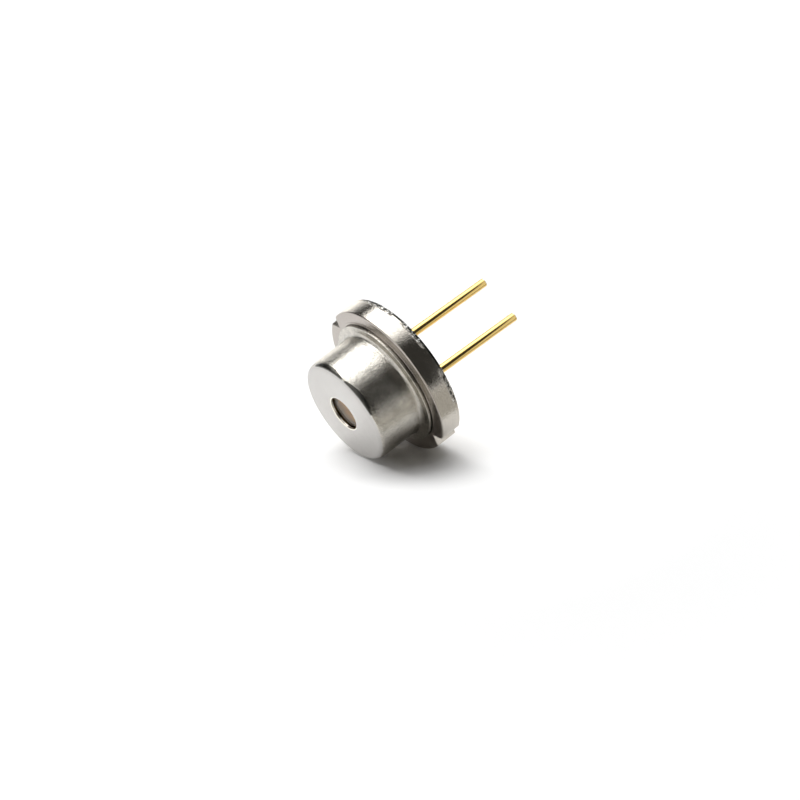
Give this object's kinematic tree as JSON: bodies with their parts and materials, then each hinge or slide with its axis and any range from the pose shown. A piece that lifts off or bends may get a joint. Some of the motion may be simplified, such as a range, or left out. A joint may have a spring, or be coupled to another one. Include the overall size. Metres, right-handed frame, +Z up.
{
  "type": "laser diode",
  "caption": "Laser diode in a round metal can: a notched base, a welded cap with a small window in its front, and two long leads behind, lying on its side.",
  "frame": {"origin": "centre of the base's front face, on the optical axis; the table that the can rests on is 4.1 mm below it", "axes": "+Z up as the can lies at rest; light leaves towards -Y and 24 degrees down; the leads run out behind towards +Y and rise at the same slope"},
  "size_m": [0.009, 0.0121, 0.0087],
  "materials": {
    "base_steel": "satin",
    "cap_nickel": "satin",
    "lead_gold": "polished",
    "block_gold": "satin",
    "pad_gold": "satin",
    "wire_gold": "polished",
    "submount_ceramic": "matte",
    "chip": "gloss",
    "seal_glass": "gloss",
    "solder_glass": "gloss",
    "window_glass": "polished"
  },
  "bodies": {
    "root": {"header": "base_steel", "heat_sink_block": "block_gold", "submount": "submount_ceramic", "submount_pads": "pad_gold", "laser_chip": "chip", "wires_lead_1": "wire_gold", "wires_chip": "wire_gold", "wires_lead_2": "wire_gold", "lead_1": "lead_gold", "lead_2": "lead_gold", "glass_seal_1": "seal_glass", "glass_seal_2": "seal_glass", "cap_shell": "cap_nickel", "window_glass": "window_glass", "window_solder": "solder_glass"}
  },
  "joints": []
}
